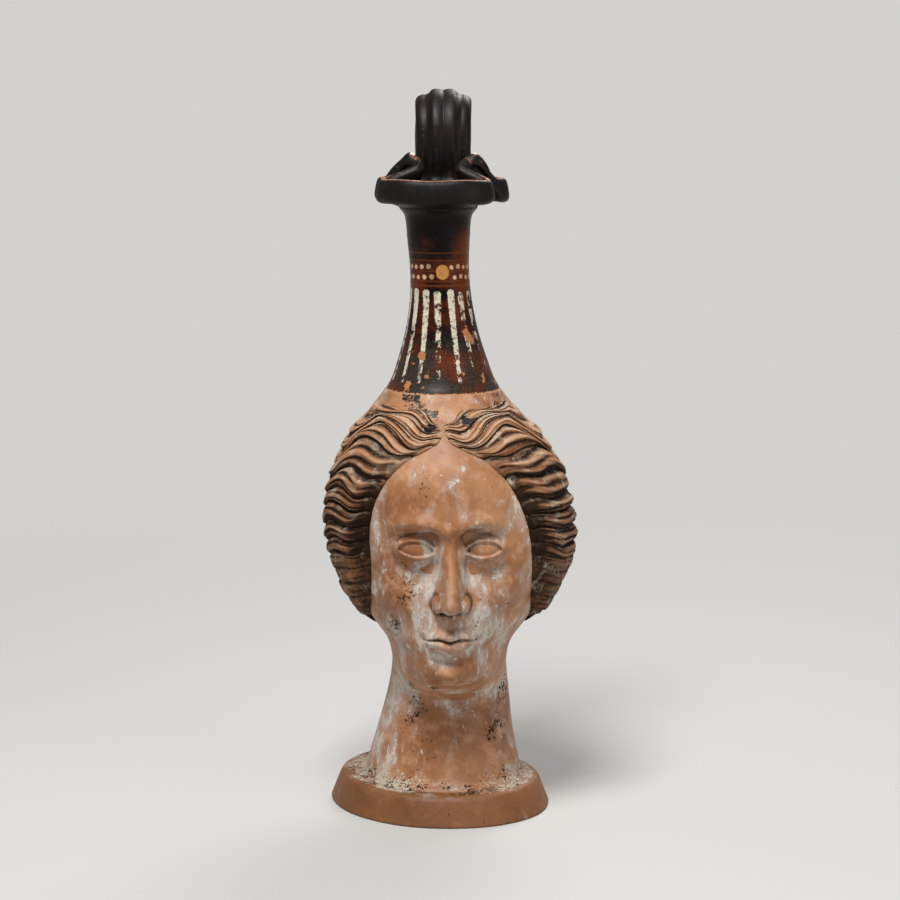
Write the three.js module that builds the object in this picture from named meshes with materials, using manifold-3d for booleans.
// Figural jug: a head on a tall neck, with a trefoil mouth and a ribbed handle that loops up behind it.
// Fired clay, made of separately formed pieces that are luted together with slip: an oval foot,
// two moulded halves, two applied masses of hair, a collar, a thrown neck, a pinched mouth and four
// rolls laid side by side as the handle. Millimetres, +Z up. The face looks along -Y, +X is to the
// viewer's right. The origin is the middle of the foot's underside.
import * as THREE from "three";
import { mergeVertices } from "three/addons/utils/BufferGeometryUtils.js";
import Module from "manifold-3d";

const wasm = await Module();
wasm.setup();

const degree = Math.PI / 180;

// Sizes that several pieces share
const joint = 0.3; // slip joint left open between two pieces
const hairGap = 1; // under the hair

// Foot
const footHeight = 12.7;
const footLongHalf = 48.6;
const footShortHalf = 43.6;
const footTurn = -38 * degree; // the trimmed oval is askew to the face
const footBevel = 4.4; // how much narrower the top edge is than the bottom
const footEdgeRound = 1.6;
const footSoleChamfer = 0.8;
const footShift = -1.5; // the head isn't quite over the middle of its foot

// Head and its neck
const bodyHeight = 159;
const headHalfWidth = 47.5; // under the hair
const faceDepth = 49.5; // from the mould's seam to the front
const backDepth = 52.5;
const headShift = 2.7; // the head bulges a little more to the viewer's right
const wallThickness = 5;
const hairThickness = 6.7;

// Face, laid out in thirds from the hairline to the chin
const chinAboveBody = 46;
const faceThird = 33.7;
const eyeWidth = 13.6;
const eyeDepth = 5.2;
const eyeBulge = 4.2;
const lidHeight = 0.9;
const browHeight = 1.6;
const noseProjection = 11;
const noseWidth = 14;
const mouthWidth = 20.5;
const lipHeight = 2.8;
const chinHeight = 3;
const cheekHeight = 1.3;

// Hair
const hairArchHalfWidth = 33;
const partingPeak = 3; // the hairline rises to a point at the parting
const partingSpread = 10 * degree;
const lockPitch = 7.2 * degree; // at the seam, seen from the front
const lockRelief = 2.4;
const lockWave = 2; // how far a lock swings to each side
const wavesPerLock = 1.4;
const firstLockAngle = 28 * degree; // where the uppermost lock ends, seen from the front
const lastLockAngle = 140 * degree;

// Collar, thrown neck and mouth
const collarHeight = 5.4;
const collarWall = 6;
const neckHeight = 76.4;
const neckBaseRadius = 24.2;
const neckWall = 4;
const neckDrift = -2; // the thrown neck strays sideways as it rises
const mouthHalfWidth = 24.6;
const mouthHalfDepth = 23.6;
const mouthTwist = -6 * degree; // the mouth isn't square to the face
const mouthHeight = 12; // from the neck to the lip
const cuffHeight = 10.2;
const cuffBulge = 1.1;
const lipHalfThickness = 1.7;
const foldRise = 9.8; // how far the pinched folds stand above the lip
const throatRadius = 9.6;
const bowlDepth = 6.4;

// Handle
const handleRise = 31.2; // above the lip
const handleReach = 53; // how far back the handle's centre line swings
const rollWidth = 6;
const outerRollThickness = 5.4;
const innerRollThickness = 8.4;

// Heights that follow from these
const bodyBottom = footHeight + joint;
const bodyTop = bodyBottom + bodyHeight;
const collarTop = bodyTop + joint + collarHeight;
const neckBottom = collarTop + joint;
const neckTop = neckBottom + neckHeight;
const lipTop = neckTop + joint + mouthHeight;
const chinLevel = bodyBottom + chinAboveBody;
const hairlineTop = chinLevel + 3 * faceThird;
const foreheadTop = hairlineTop - partingPeak;
const browLine = chinLevel + 2 * faceThird;
const noseBase = chinLevel + faceThird;
const eyeLine = noseBase + 0.74 * faceThird;
const mouthLine = noseBase - faceThird / 3;
const swirlCentre = eyeLine; // the locks turn about this height

const clay = new THREE.MeshStandardMaterial({ color: "#b4744c", roughness: 0.75, metalness: 0 });
const whitenedClay = new THREE.MeshStandardMaterial({ color: "#bb8460", roughness: 0.8, metalness: 0 });
const hairClay = new THREE.MeshStandardMaterial({ color: "#a8683f", roughness: 0.75, metalness: 0 });
const blackSlip = new THREE.MeshStandardMaterial({ color: "#1c1512", roughness: 0.35, metalness: 0 });

// Head and neck sections from the foot to the collar: height, half width, front depth, back depth, hair
// thickness and shift to the side, each as a share of the size it follows
const sectionShares = [
  [0, 0.76, 0.73, 0.68, 0, 0],
  [0.044, 0.672, 0.612, 0.594, 0, 0.1],
  [0.137, 0.598, 0.541, 0.537, 0, 0.4],
  [0.231, 0.539, 0.511, 0.503, 0, 0.85],
  [0.278, 0.518, 0.72, 0.499, 0, 0.95],
  [0.325, 0.514, 0.965, 0.518, 0, 1],
  [0.382, 0.564, 1, 0.61, 0.15, 1.05],
  [0.433, 0.69, 1, 0.724, 0.69, 1.1],
  [0.515, 0.859, 1, 0.882, 0.91, 1.25],
  [0.609, 0.968, 0.992, 0.977, 1, 1.3],
  [0.685, 1, 0.982, 1, 1, 1],
  [0.773, 0.968, 0.968, 0.968, 1, 0.65],
  [0.861, 0.865, 0.885, 0.851, 0.97, 0.5],
  [0.937, 0.728, 0.737, 0.709, 0.87, 0.25],
  [1, 0.581, 0.558, 0.541, 0.5, 0],
];
const heightColumn = 0;
const widthColumn = 1;
const frontColumn = 2;
const backColumn = 3;
const hairColumn = 4;
const shiftColumn = 5;

// The mouth's lip from the front centre round the right side to the back: sideways, backwards, rise,
// cuff height and thickness as shares, then the angle at which each point meets the throat
const lipShares = [
  [0, -1, 0, 1, 1, 0],
  [0.5, -0.9, 0, 1, 1, 28],
  [0.83, -0.61, 0, 1, 1, 50],
  [0.86, -0.35, 0.05, 0.97, 1, 64],
  [0.62, -0.22, 0.34, 0.75, 0.9, 72],
  [0.37, -0.12, 0.7, 0.5, 0.85, 80],
  [0.44, 0.06, 0.97, 0.5, 0.85, 88],
  [0.66, 0.13, 1, 0.6, 0.9, 96],
  [0.82, 0.24, 0.42, 0.7, 1, 104],
  [0.95, 0.38, -0.05, 0.8, 1, 113],
  [1, 0.58, -0.2, 0.85, 1, 123],
  [0.92, 0.79, -0.12, 0.9, 1, 134],
  [0.65, 0.94, 0, 1, 1.3, 150],
  [0.32, 0.97, 0, 1, 2.1, 166],
  [0, 0.97, 0, 1, 2.3, 180],
];

// Where each lock starts on the hairline and where it ends at the seam, as shares of the last lock's
// angle from upright. The upper locks fan out from the parting.
const lockStartShares = [
  [0.194, 0.01],
  [0.25, 0.026],
  [0.306, 0.05],
  [0.347, 0.085],
  [0.39, 0.155],
  [0.458, 0.305],
  [0.514, 0.417],
  [0.583, 0.5],
  [0.674, 0.611],
  [0.764, 0.722],
  [0.868, 0.847],
  [1, 0.995],
];

// The thrown neck's outside radius, from its foot up, as shares of height and of the base radius
const neckShares = [
  [0, 1],
  [0.07, 0.885],
  [0.15, 0.795],
  [0.29, 0.66],
  [0.42, 0.575],
  [0.54, 0.525],
  [0.68, 0.51],
  [0.83, 0.54],
  [0.955, 0.58],
  [1, 0.68],
];

// The handle's centre line behind the mouth: backwards as a share of the reach, and height as a share
// of the rise above the lip or, below it, of the drop to the head
const handleUpShares = [
  [0.385, 0],
  [0.36, 0.35],
  [0.385, 0.68],
  [0.49, 0.92],
  [0.64, 1],
  [0.8, 0.9],
  [0.92, 0.62],
];
const handleDownShares = [
  [0.995, 0.06],
  [1, 0.32],
  [0.96, 0.6],
  [0.86, 0.86],
  [0.72, 1.04],
];

// Smooth value of one column at a share of the height, through the rows of a table
function alongTable(table, position, column) {
  const last = table.length - 1;
  const s = Math.min(Math.max(position, table[0][0]), table[last][0]);
  let i = 0;
  while (i < last - 1 && s > table[i + 1][0]) i += 1;
  const slope = (k) => {
    const a = table[Math.max(k - 1, 0)];
    const b = table[Math.min(k + 1, last)];
    return (b[column] - a[column]) / (b[0] - a[0]);
  };
  const span = table[i + 1][0] - table[i][0];
  const t = (s - table[i][0]) / span;
  const rise = t * t * (3 - 2 * t);
  const leave = t * (1 - t) * (1 - t) * span * slope(i);
  const arrive = -t * t * (1 - t) * span * slope(i + 1);
  return table[i][column] * (1 - rise) + table[i + 1][column] * rise + leave + arrive;
}

function bodySize(z, column, size) {
  return size * alongTable(sectionShares, (z - bodyBottom) / bodyHeight, column);
}

const halfWidthAt = (z) => bodySize(z, widthColumn, headHalfWidth);
const frontDepthAt = (z) => bodySize(z, frontColumn, faceDepth);
const backDepthAt = (z) => bodySize(z, backColumn, backDepth);
const hairThicknessAt = (z) => bodySize(z, hairColumn, hairThickness);
const shifted = (point) => point.setX(point.x + bodySize(point.z, shiftColumn, headShift));

// A rounded hill on the face, with its middle and its half sizes
function hill(x, z, middleX, middleZ, halfX, halfZ) {
  return Math.exp(-(((x - middleX) / halfX) ** 2) - ((z - middleZ) / halfZ) ** 2);
}

function smoothStep(from, to, value) {
  const t = Math.min(Math.max((value - from) / (to - from), 0), 1);
  return t * t * (3 - 2 * t);
}

// The nose: a straight bridge that widens and rises towards the tip, and two wings
function noseRelief(x, z) {
  const tip = noseBase + 0.13 * faceThird;
  const down = Math.min(Math.max((browLine - z) / (browLine - tip), 0), 1);
  const bridge = noseProjection * (0.2 + 0.8 * down);
  const halfBridge = noseWidth * (0.26 + 0.1 * down ** 2);
  const startsAt = smoothStep(browLine + 0.4 * faceThird, browLine - 0.3 * faceThird, z);
  const endsAt = smoothStep(noseBase - 0.04 * faceThird, noseBase + 0.13 * faceThird, z);
  const ridge = bridge * Math.exp(-(Math.abs(x / halfBridge) ** 2.6)) * startsAt * endsAt;
  const wing = noseWidth / 4.4;
  const wings = hill(Math.abs(x), z, 0.36 * noseWidth, noseBase + 1.1 * wing, wing, 1.2 * wing);
  return Math.max(ridge, 0.5 * noseProjection * wings);
}

// One eye and the brow above it: socket, ball, the rims of the lids and the brow's arch
function eyeRelief(x, z) {
  const side = Math.abs(x) - eyeWidth;
  const level = z - eyeLine;
  const socket = -eyeDepth * hill(side, level, -0.06 * eyeWidth, 0.1 * eyeWidth, 0.8 * eyeWidth, 0.52 * eyeWidth);
  const round = (side / (0.56 * eyeWidth)) ** 2 + (level / (0.33 * eyeWidth)) ** 2;
  const ball = eyeBulge * Math.exp(-(round ** 2));
  const open = Math.max(1 - (side / (0.6 * eyeWidth)) ** 2, 0);
  const upperRim = level - 0.27 * eyeWidth * open;
  const lowerRim = level + 0.2 * eyeWidth * open;
  const rimWidth = 0.085 * eyeWidth;
  const rims = Math.exp(-((upperRim / rimWidth) ** 2)) + 0.5 * Math.exp(-((lowerRim / rimWidth) ** 2));
  const lids = lidHeight * Math.sqrt(open) * rims;
  const arch = z - browLine - 0.1 * eyeWidth + 0.14 * eyeWidth * (side / (0.7 * eyeWidth)) ** 2;
  const brow = browHeight * Math.exp(-((arch / (0.3 * eyeWidth)) ** 2) - ((side / (1.1 * eyeWidth)) ** 4));
  return socket + ball + lids + brow;
}

function mouthRelief(x, z) {
  const level = z - mouthLine;
  const muzzle = 0.8 * lipHeight * hill(x, level, 0, 0, 0.75 * mouthWidth, 0.5 * mouthWidth);
  const bows = hill(Math.abs(x), level, 0.13 * mouthWidth, 0.1 * mouthWidth, 0.24 * mouthWidth, 0.09 * mouthWidth);
  const lower = hill(x, level, 0, -0.14 * mouthWidth, 0.31 * mouthWidth, 0.1 * mouthWidth);
  const curve = 0.03 * mouthWidth * Math.cos((2 * Math.PI * x) / (0.6 * mouthWidth));
  const across = Math.exp(-((x / (0.5 * mouthWidth)) ** 6));
  const parting = Math.exp(-(((level + curve) / (0.045 * mouthWidth)) ** 2)) * across;
  const furrow = hill(x, level, 0, -0.36 * mouthWidth, 0.42 * mouthWidth, 0.12 * mouthWidth);
  const gutter = hill(x, level, 0, 0.32 * mouthWidth, 0.09 * mouthWidth, 0.14 * mouthWidth);
  return muzzle + lipHeight * (0.85 * bows + lower - 0.7 * parting - 0.55 * furrow - 0.25 * gutter);
}

// How far the face stands in front of the plain head, for a point seen from the front
function faceRelief(x, z) {
  const chin = chinHeight * hill(x, z, 0, chinLevel + 0.2 * faceThird, 0.3 * faceThird, 0.22 * faceThird);
  const cheekX = 1.32 * eyeWidth;
  const cheekZ = noseBase + 0.15 * faceThird;
  const cheek = cheekHeight * hill(Math.abs(x), z, cheekX, cheekZ, 0.3 * faceThird, 0.33 * faceThird);
  const outward = Math.hypot(x / hairArchHalfWidth, Math.max(z - eyeLine, 0) / (hairlineTop - eyeLine));
  const fade = 1 - smoothStep(0.85, 1, outward);
  return fade * (noseRelief(x, z) + eyeRelief(x, z) + mouthRelief(x, z) + chin + cheek);
}

// A point of the front half, at an angle from straight ahead; grow moves the wall out or in
function frontPoint(angle, z, grow, relief) {
  const x = (halfWidthAt(z) + grow) * Math.sin(angle);
  const depth = (frontDepthAt(z) + grow) * Math.cos(angle) + (relief ? faceRelief(x, z) : 0);
  return new THREE.Vector3(x, -Math.max(depth, joint / 2), z);
}

// The back half carries on from the grooves between the locks
const backThicknessAt = (z) => hairThicknessAt(z) * (1 - lockRelief / hairThickness);

function backPoint(angle, z, grow) {
  const thickness = backThicknessAt(z);
  const x = (halfWidthAt(z) + thickness + grow) * Math.sin(angle);
  const blend = thickness * Math.sin(angle) ** 2;
  const depth = (backDepthAt(z) + blend + grow) * Math.cos(angle);
  return new THREE.Vector3(x, Math.max(depth, joint / 2), z);
}

// Closed mesh from two grids of points that face each other. The second grid keeps one row or column
// in every few of the first, and the walls between their edges are fans.
function thickPatch(rows, columns, stride, outer, inner) {
  const points = [];
  const faces = [];
  const outerIndex = (r, c) => r * (columns + 1) + c;
  const innerColumns = columns / stride + 1;
  const firstInner = (rows + 1) * (columns + 1);
  const innerIndex = (r, c) => firstInner + (r / stride) * innerColumns + c / stride;
  for (let r = 0; r <= rows; r += 1) {
    for (let c = 0; c <= columns; c += 1) points.push(outer(r / rows, c / columns));
  }
  for (let r = 0; r <= rows; r += stride) {
    for (let c = 0; c <= columns; c += stride) points.push(inner(r / rows, c / columns));
  }
  for (let r = 0; r < rows; r += 1) {
    for (let c = 0; c < columns; c += 1) {
      const [a, b] = [outerIndex(r, c), outerIndex(r, c + 1)];
      const [d, e] = [outerIndex(r + 1, c), outerIndex(r + 1, c + 1)];
      faces.push(a, b, e, a, e, d);
    }
  }
  for (let r = 0; r < rows; r += stride) {
    for (let c = 0; c < columns; c += stride) {
      const [a, b] = [innerIndex(r, c), innerIndex(r, c + stride)];
      const [d, e] = [innerIndex(r + stride, c), innerIndex(r + stride, c + stride)];
      faces.push(a, e, b, a, d, e);
    }
  }
  const rim = [];
  for (let c = 0; c < columns; c += 1) rim.push([0, c]);
  for (let r = 0; r < rows; r += 1) rim.push([r, columns]);
  for (let c = columns; c > 0; c -= 1) rim.push([rows, c]);
  for (let r = rows; r > 0; r -= 1) rim.push([r, 0]);
  for (let i = 0; i < rim.length; i += stride) {
    const start = innerIndex(...rim[i]);
    const end = innerIndex(...rim[(i + stride) % rim.length]);
    for (let k = 0; k < stride; k += 1) {
      const here = outerIndex(...rim[i + k]);
      const next = outerIndex(...rim[(i + k + 1) % rim.length]);
      faces.push(start, next, here);
    }
    faces.push(start, end, outerIndex(...rim[(i + stride) % rim.length]));
  }
  return meshFrom(points, faces);
}

// Closed mesh from rings of points stacked one above the other, with a flat cap at each end
function stackedRings(rings) {
  const count = rings[0].length;
  const faces = [];
  rings.slice(1).forEach((ring, r) => {
    for (let k = 0; k < count; k += 1) {
      const [a, b] = [r * count + k, r * count + ((k + 1) % count)];
      faces.push(a, b, b + count, a, b + count, a + count);
    }
  });
  const top = (rings.length - 1) * count;
  for (let k = 1; k < count - 1; k += 1) {
    faces.push(0, k + 1, k);
    faces.push(top, top + k, top + k + 1);
  }
  return meshFrom(rings.flat(), faces);
}

// Closed mesh from a section that is carried round a loop and back to its start
function loopSweep(steps, section) {
  const rings = [];
  for (let i = 0; i < steps; i += 1) rings.push(section(i / steps));
  const count = rings[0].length;
  const faces = [];
  for (let i = 0; i < steps; i += 1) {
    for (let k = 0; k < count; k += 1) {
      const next = ((i + 1) % steps) * count;
      const [a, b] = [i * count + k, i * count + ((k + 1) % count)];
      const [d, e] = [next + k, next + ((k + 1) % count)];
      faces.push(a, d, e, a, e, b);
    }
  }
  return meshFrom(rings.flat(), faces);
}

function meshFrom(points, faces) {
  const geometry = new THREE.BufferGeometry().setFromPoints(points);
  geometry.setIndex(faces);
  return geometry;
}

function toSolid(geometry) {
  const bare = geometry.clone();
  bare.deleteAttribute("normal");
  bare.deleteAttribute("uv");
  const merged = mergeVertices(bare);
  const triVerts = new Uint32Array(merged.index.array);
  const vertProperties = merged.attributes.position.array;
  return new wasm.Manifold(new wasm.Mesh({ numProp: 3, vertProperties, triVerts }));
}

function toGeometry(solid) {
  const mesh = solid.getMesh();
  const points = [];
  for (let i = 0; i < mesh.numVert; i += 1) {
    points.push(new THREE.Vector3().fromArray(mesh.vertProperties, i * mesh.numProp));
  }
  return meshFrom(points, Array.from(mesh.triVerts));
}

// Foot: an oval slab with a sloping side, a rounded upper edge and a small chamfer at the sole
function footGeometry() {
  const sides = 56;
  const flatTop = footHeight - footEdgeRound;
  const levels = [
    [0, footSoleChamfer],
    [footSoleChamfer, 0],
    [flatTop, footBevel - footEdgeRound / 2],
    [footHeight - 0.3 * footEdgeRound, footBevel],
    [footHeight, footBevel + footEdgeRound],
  ];
  const ring = ([height, inset]) =>
    Array.from({ length: sides }, (_, k) => {
      const turn = (2 * Math.PI * k) / sides;
      const along = (footLongHalf - inset) * Math.cos(turn);
      const across = (footShortHalf - inset) * Math.sin(turn);
      const point = new THREE.Vector3(along, across, height);
      point.applyAxisAngle(new THREE.Vector3(0, 0, 1), footTurn);
      return point.setX(point.x + footShift);
    });
  return stackedRings(levels.map(ring));
}

// Where the front half's rows change their pitch, closer together over the mouth and the eyes
const rowBandShares = [0, 0.096, 0.25, 0.577, 0.846, 1];
const rowBandHeights = [
  bodyBottom,
  chinLevel - 0.35 * faceThird,
  chinLevel + 0.45 * faceThird,
  noseBase + 0.3 * faceThird,
  browLine + 0.1 * faceThird,
  bodyTop,
];

function frontRowHeight(up) {
  const band = Math.max(rowBandShares.findIndex((share) => share >= up), 1);
  const [start, end] = [rowBandShares[band - 1], rowBandShares[band]];
  const within = (up - start) / (end - start);
  return rowBandHeights[band - 1] + (rowBandHeights[band] - rowBandHeights[band - 1]) * within;
}

// Front half of the head and its neck, pressed in one mould
function frontHalfGeometry() {
  const rows = 52;
  const columns = 44;
  const angleOf = (across) => {
    const s = 2 * across - 1;
    return (Math.PI / 2) * (0.52 * s + 0.48 * s ** 3);
  };
  const outer = (up, across) => shifted(frontPoint(angleOf(across), frontRowHeight(up), 0, true));
  const inner = (up, across) =>
    shifted(frontPoint(angleOf(across), frontRowHeight(up), -wallThickness, false));
  return thickPatch(rows, columns, 4, outer, inner);
}

// Back half of the head and its neck, smooth and rounded
function backHalfGeometry() {
  const rows = 28;
  const columns = 20;
  const angleOf = (across) => Math.PI * (0.5 - across);
  const heightOf = (up) => bodyBottom + bodyHeight * up;
  const outer = (up, across) => shifted(backPoint(angleOf(across), heightOf(up), 0));
  const inner = (up, across) => {
    const z = heightOf(up);
    return shifted(backPoint(angleOf(across), z, -wallThickness - backThicknessAt(z)));
  };
  return thickPatch(rows, columns, 4, outer, inner);
}

// Distance from the locks' centre to the hairline, seen from the front at an angle from upright
function hairlineDistance(angle) {
  const archHalfHeight = foreheadTop - swirlCentre;
  const across = Math.sin(angle) / hairArchHalfWidth;
  const up = Math.cos(angle) / archHalfHeight;
  const peak = partingPeak * Math.exp(-angle / partingSpread);
  if (up >= 0) return peak + 1 / Math.hypot(across, up);
  return hairArchHalfWidth / Math.sin(angle);
}

// Distance from the locks' centre to the edge of the front half, at the seam or under the collar
function seamDistance(angle) {
  const topDistance = Math.cos(angle) > 0 ? (bodyTop - swirlCentre) / Math.cos(angle) : Infinity;
  let near = 0;
  let far = Math.min(topDistance, 2 * headHalfWidth);
  if (far === topDistance && far * Math.sin(angle) < halfWidthAt(bodyTop)) return far;
  for (let i = 0; i < 30; i += 1) {
    const middle = (near + far) / 2;
    const inside = middle * Math.sin(angle) < halfWidthAt(swirlCentre + middle * Math.cos(angle));
    if (inside) near = middle;
    else far = middle;
  }
  return near;
}

// Where a lock starts on the hairline, from where it ends at the seam
function lockStart(end) {
  return lastLockAngle * alongTable(lockStartShares, end / lastLockAngle, 1);
}

// Where a lock has turned to, on its way from the hairline (0) to the seam (1)
function lockAngle(end, along) {
  const start = lockStart(end);
  const swing = lockWave * smoothStep(0, 0.3, along) * Math.sin(2 * Math.PI * wavesPerLock * along);
  return start + (end - start) * along + swing / headHalfWidth;
}

function hairPoint(side, end, along, thickness) {
  const angle = lockAngle(end, along);
  const near = hairlineDistance(angle);
  const far = Math.max(seamDistance(angle), near + joint);
  const reach = near + (far - near) * Math.sin((Math.PI / 2) * along);
  const z = Math.min(swirlCentre + reach * Math.cos(angle), bodyTop);
  const shareOut = Math.min((reach * Math.sin(angle)) / halfWidthAt(z), 1);
  const around = Math.asin(shareOut);
  const point = frontPoint(around, z, thickness, false);
  return shifted(point.setX(side * point.x));
}

// One applied mass of hair: wavy locks from the hairline back to the seam
function hairGeometry(side) {
  const lockCount = 2 * Math.round((lastLockAngle - firstLockAngle) / lockPitch / 2);
  const rows = lockCount * 3;
  const columns = 16;
  const endOf = (down) => firstLockAngle + (lastLockAngle - firstLockAngle) * down;
  const outer = (down, back) => {
    const end = endOf(down);
    const next = endOf(down + 1 / rows);
    const crowding = (lockAngle(next, back) - lockAngle(end, back)) / (next - end);
    const groove = 1 - Math.abs(Math.sin(Math.PI * lockCount * down));
    const calm = 1 - 0.8 * smoothStep(0.8, 0.95, down);
    const relief = lockRelief * calm * Math.min(crowding, 1) * groove;
    const edge = 0.3 + 0.35 * smoothStep(0, 0.4, down);
    const full = hairThicknessAt(hairPoint(1, end, back, 0).z);
    const thickness = full * (edge + (1 - edge) * smoothStep(0, 0.35, back)) - relief;
    return hairPoint(side, end, back, Math.max(thickness, 2.4 * hairGap));
  };
  const inner = (down, back) => hairPoint(side, endOf(down), back, hairGap);
  // the left mass is the right one's mirror image, so its rows and columns change places
  const onGrid = (surface) => (a, b) => (side > 0 ? surface(a, 1 - b) : surface(b, 1 - a));
  const [gridRows, gridColumns] = side > 0 ? [rows, columns] : [columns, rows];
  return thickPatch(gridRows, gridColumns, 2, onGrid(outer), onGrid(inner));
}

function collarGeometry() {
  const bottom = bodyTop + joint;
  const lowRadius = halfWidthAt(bodyTop) + joint;
  const inside = neckBaseRadius - collarWall;
  const middle = (lowRadius + neckBaseRadius) / 2 - 0.04 * lowRadius;
  return ringFromProfile([
    [inside, bottom],
    [lowRadius, bottom],
    [middle, bottom + collarHeight / 2],
    [neckBaseRadius, collarTop],
    [inside, collarTop],
  ]);
}

function ringFromProfile(profile, segments = 40) {
  const points = profile.map(([radius, height]) => new THREE.Vector2(radius, height));
  points.push(points[0].clone());
  return new THREE.LatheGeometry(points, segments).rotateX(Math.PI / 2);
}

// Sideways drift of the thrown neck and of what it carries
function driftAt(z) {
  return neckDrift * smoothStep(neckBottom, neckTop, z);
}

function neckRadiusAt(z) {
  return neckBaseRadius * alongTable(neckShares, (z - neckBottom) / neckHeight, 1);
}

function neckGeometry() {
  const levels = 14;
  const outside = [];
  const inside = [];
  for (let i = 0; i <= levels; i += 1) {
    const z = neckBottom + (neckHeight * i) / levels;
    outside.push([neckRadiusAt(z), z]);
    if (i % 2 === 0) inside.unshift([neckRadiusAt(z) - neckWall, z]);
  }
  const geometry = ringFromProfile([...outside, ...inside], 36);
  const position = geometry.attributes.position;
  for (let i = 0; i < position.count; i += 1) {
    position.setX(i, position.getX(i) + driftAt(position.getZ(i)));
  }
  return geometry;
}

// The lip's line and the sizes that go with it, at a share of the way round from the front
function lipAt(around) {
  const half = around <= 0.5 ? around * 2 : (1 - around) * 2;
  const side = around <= 0.5 ? 1 : -1;
  const rowsBetween = lipShares.length - 1;
  const table = lipShares.map((row, i) => [i / rowsBetween, ...row]);
  const value = (column) => alongTable(table, half, column);
  return {
    x: side * value(1) * mouthHalfWidth,
    y: value(2) * mouthHalfDepth,
    rise: value(3) * foldRise,
    cuff: value(4) * cuffHeight,
    half: value(5) * lipHalfThickness,
    turn: side * value(6) * degree,
  };
}

// The mouth's section at one place: up the outside of the cuff, over the lip and down into the throat
function mouthSection(around) {
  const step = 0.004;
  const lip = lipAt(around);
  const ahead = lipAt((around + step) % 1);
  const behind = lipAt((around - step + 1) % 1);
  const along = new THREE.Vector2(ahead.x - behind.x, ahead.y - behind.y).normalize();
  const outward = new THREE.Vector2(along.y, -along.x);
  const height = lipTop + lip.rise;
  const bottom = neckTop + joint;
  const place = (offset, z) =>
    new THREE.Vector3(lip.x + outward.x * offset, lip.y + outward.y * offset, z);
  const throat = (radius, z) =>
    new THREE.Vector3(radius * Math.sin(lip.turn), -radius * Math.cos(lip.turn), z);
  const footRadius = neckRadiusAt(neckTop);
  const underside = throat(footRadius + lipHalfThickness, bottom + lipHalfThickness);
  const cuffFoot = place(lip.half * 0.4, Math.max(height - lip.cuff, bottom));
  const between = underside.clone().lerp(cuffFoot, 0.55);
  const bowlTop = place(-1.3 * lip.half, height - bowlDepth * 0.55);
  const bowl = throat(throatRadius + lipHalfThickness, lipTop - bowlDepth);
  const section = [
    throat(throatRadius, bottom),
    throat(footRadius, bottom),
    between,
    cuffFoot,
    place(lip.half + cuffBulge, height - lip.cuff * 0.84),
    place(lip.half + cuffBulge * 0.9, height - lip.cuff * 0.5),
    place(lip.half, height - lip.half * 0.7),
    place(0, height),
    place(-lip.half, height - lip.half * 0.8),
    bowlTop,
    bowlTop.clone().lerp(bowl, 0.6).setZ(lipTop - bowlDepth * 0.92),
    throat(throatRadius, lipTop - bowlDepth - lipHalfThickness),
  ];
  return section.map((p) => {
    const turned = p.applyAxisAngle(new THREE.Vector3(0, 0, 1), mouthTwist);
    return turned.setX(turned.x + neckDrift);
  });
}

function mouthGeometry() {
  return loopSweep(96, mouthSection);
}

// The middle of the handle's four rolls
const handleX = neckDrift - handleUpShares[0][0] * handleReach * Math.sin(mouthTwist);

function handleLine() {
  const attachLevel = collarTop - faceThird / 2;
  const points = [
    ...handleUpShares.map(([back, up]) => [back * handleReach, lipTop + joint + up * handleRise]),
    ...handleDownShares.map(([back, down]) => [
      back * handleReach,
      lipTop + (attachLevel - lipTop) * down,
    ]),
  ];
  return new THREE.CatmullRomCurve3(points.map(([y, z]) => new THREE.Vector3(handleX, y, z)));
}

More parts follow.
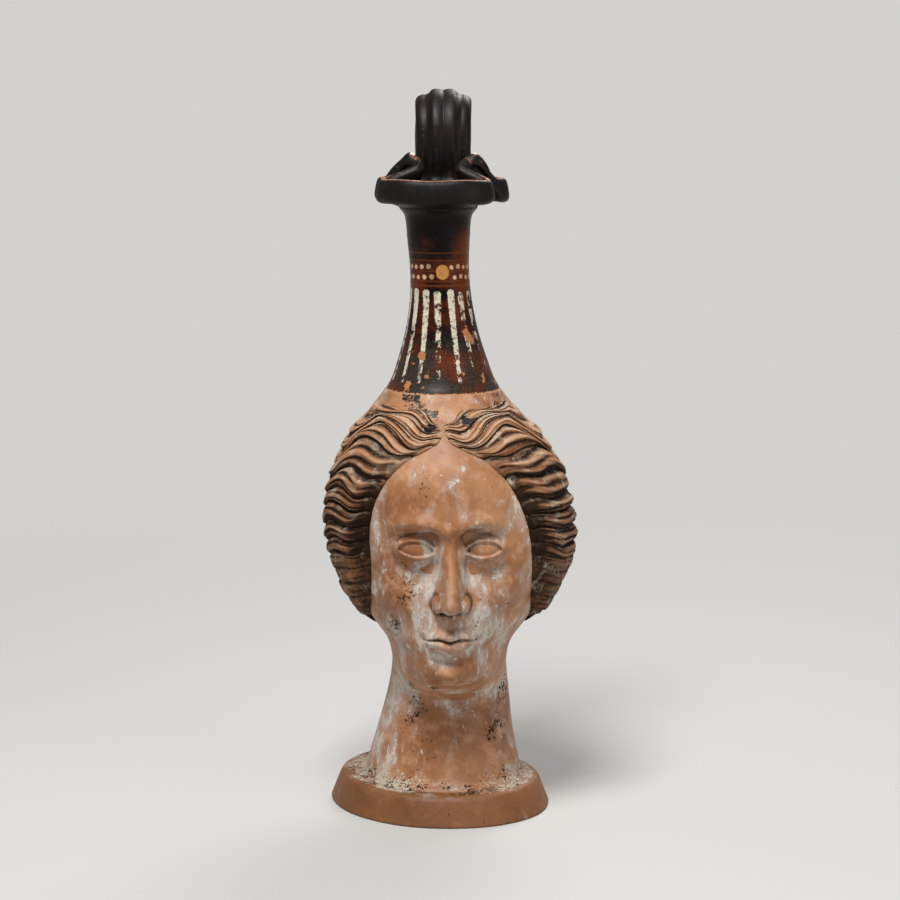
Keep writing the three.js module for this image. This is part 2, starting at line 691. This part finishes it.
// The back of the head as one closed solid, a joint's width larger, for cutting what rests on it
function grownBackSolid() {
  const sides = 64;
  const levels = 60;
  const rings = [];
  for (let i = 0; i <= levels; i += 1) {
    const z = bodyBottom + (bodyHeight * i) / levels;
    rings.push(
      Array.from({ length: sides }, (_, k) => {
        const turn = (2 * Math.PI * k) / sides;
        const point = shifted(backPoint(turn, z, joint));
        const depth = (backDepthAt(z) + backThicknessAt(z) * Math.sin(turn) ** 2 + joint) * Math.cos(turn);
        return point.setY(depth);
      }).reverse(),
    );
  }
  return toSolid(stackedRings(rings));
}

function rollSection(across, thickness) {
  const section = new THREE.Shape();
  const halfWidth = (rollWidth - joint) / 2;
  const base = -outerRollThickness / 2;
  const shoulder = base + 0.45 * thickness;
  section.moveTo(across - halfWidth, base);
  section.lineTo(across + halfWidth, base);
  section.lineTo(across + halfWidth, shoulder);
  section.bezierCurveTo(
    across + halfWidth,
    base + thickness,
    across - halfWidth,
    base + thickness,
    across - halfWidth,
    shoulder,
  );
  section.closePath();
  return section;
}

function rollGeometry(number, cutter) {
  const across = (number - 2.5) * rollWidth;
  const inner = number === 2 || number === 3;
  const section = rollSection(-across, inner ? innerRollThickness : outerRollThickness);
  const sweep = new THREE.ExtrudeGeometry(section, {
    steps: 28,
    curveSegments: 5,
    bevelEnabled: false,
    extrudePath: handleLine(),
  });
  return toGeometry(toSolid(sweep).subtract(cutter));
}

const jug = new THREE.Group();

function addPiece(name, geometry, material) {
  const mesh = new THREE.Mesh(geometry, material);
  mesh.name = name;
  jug.add(mesh);
}

addPiece("foot_plinth", footGeometry(), clay);
addPiece("front_half", frontHalfGeometry(), whitenedClay);
addPiece("back_half", backHalfGeometry(), clay);
addPiece("hair_left", hairGeometry(-1), hairClay);
addPiece("hair_right", hairGeometry(1), hairClay);
addPiece("joint_collar", collarGeometry(), clay);
addPiece("vessel_neck", neckGeometry(), blackSlip);
addPiece("trefoil_mouth", mouthGeometry(), blackSlip);
const headCutter = grownBackSolid();
for (let number = 1; number <= 4; number += 1) {
  addPiece(`handle_roll_${number}`, rollGeometry(number, headCutter), blackSlip);
}

export default jug;
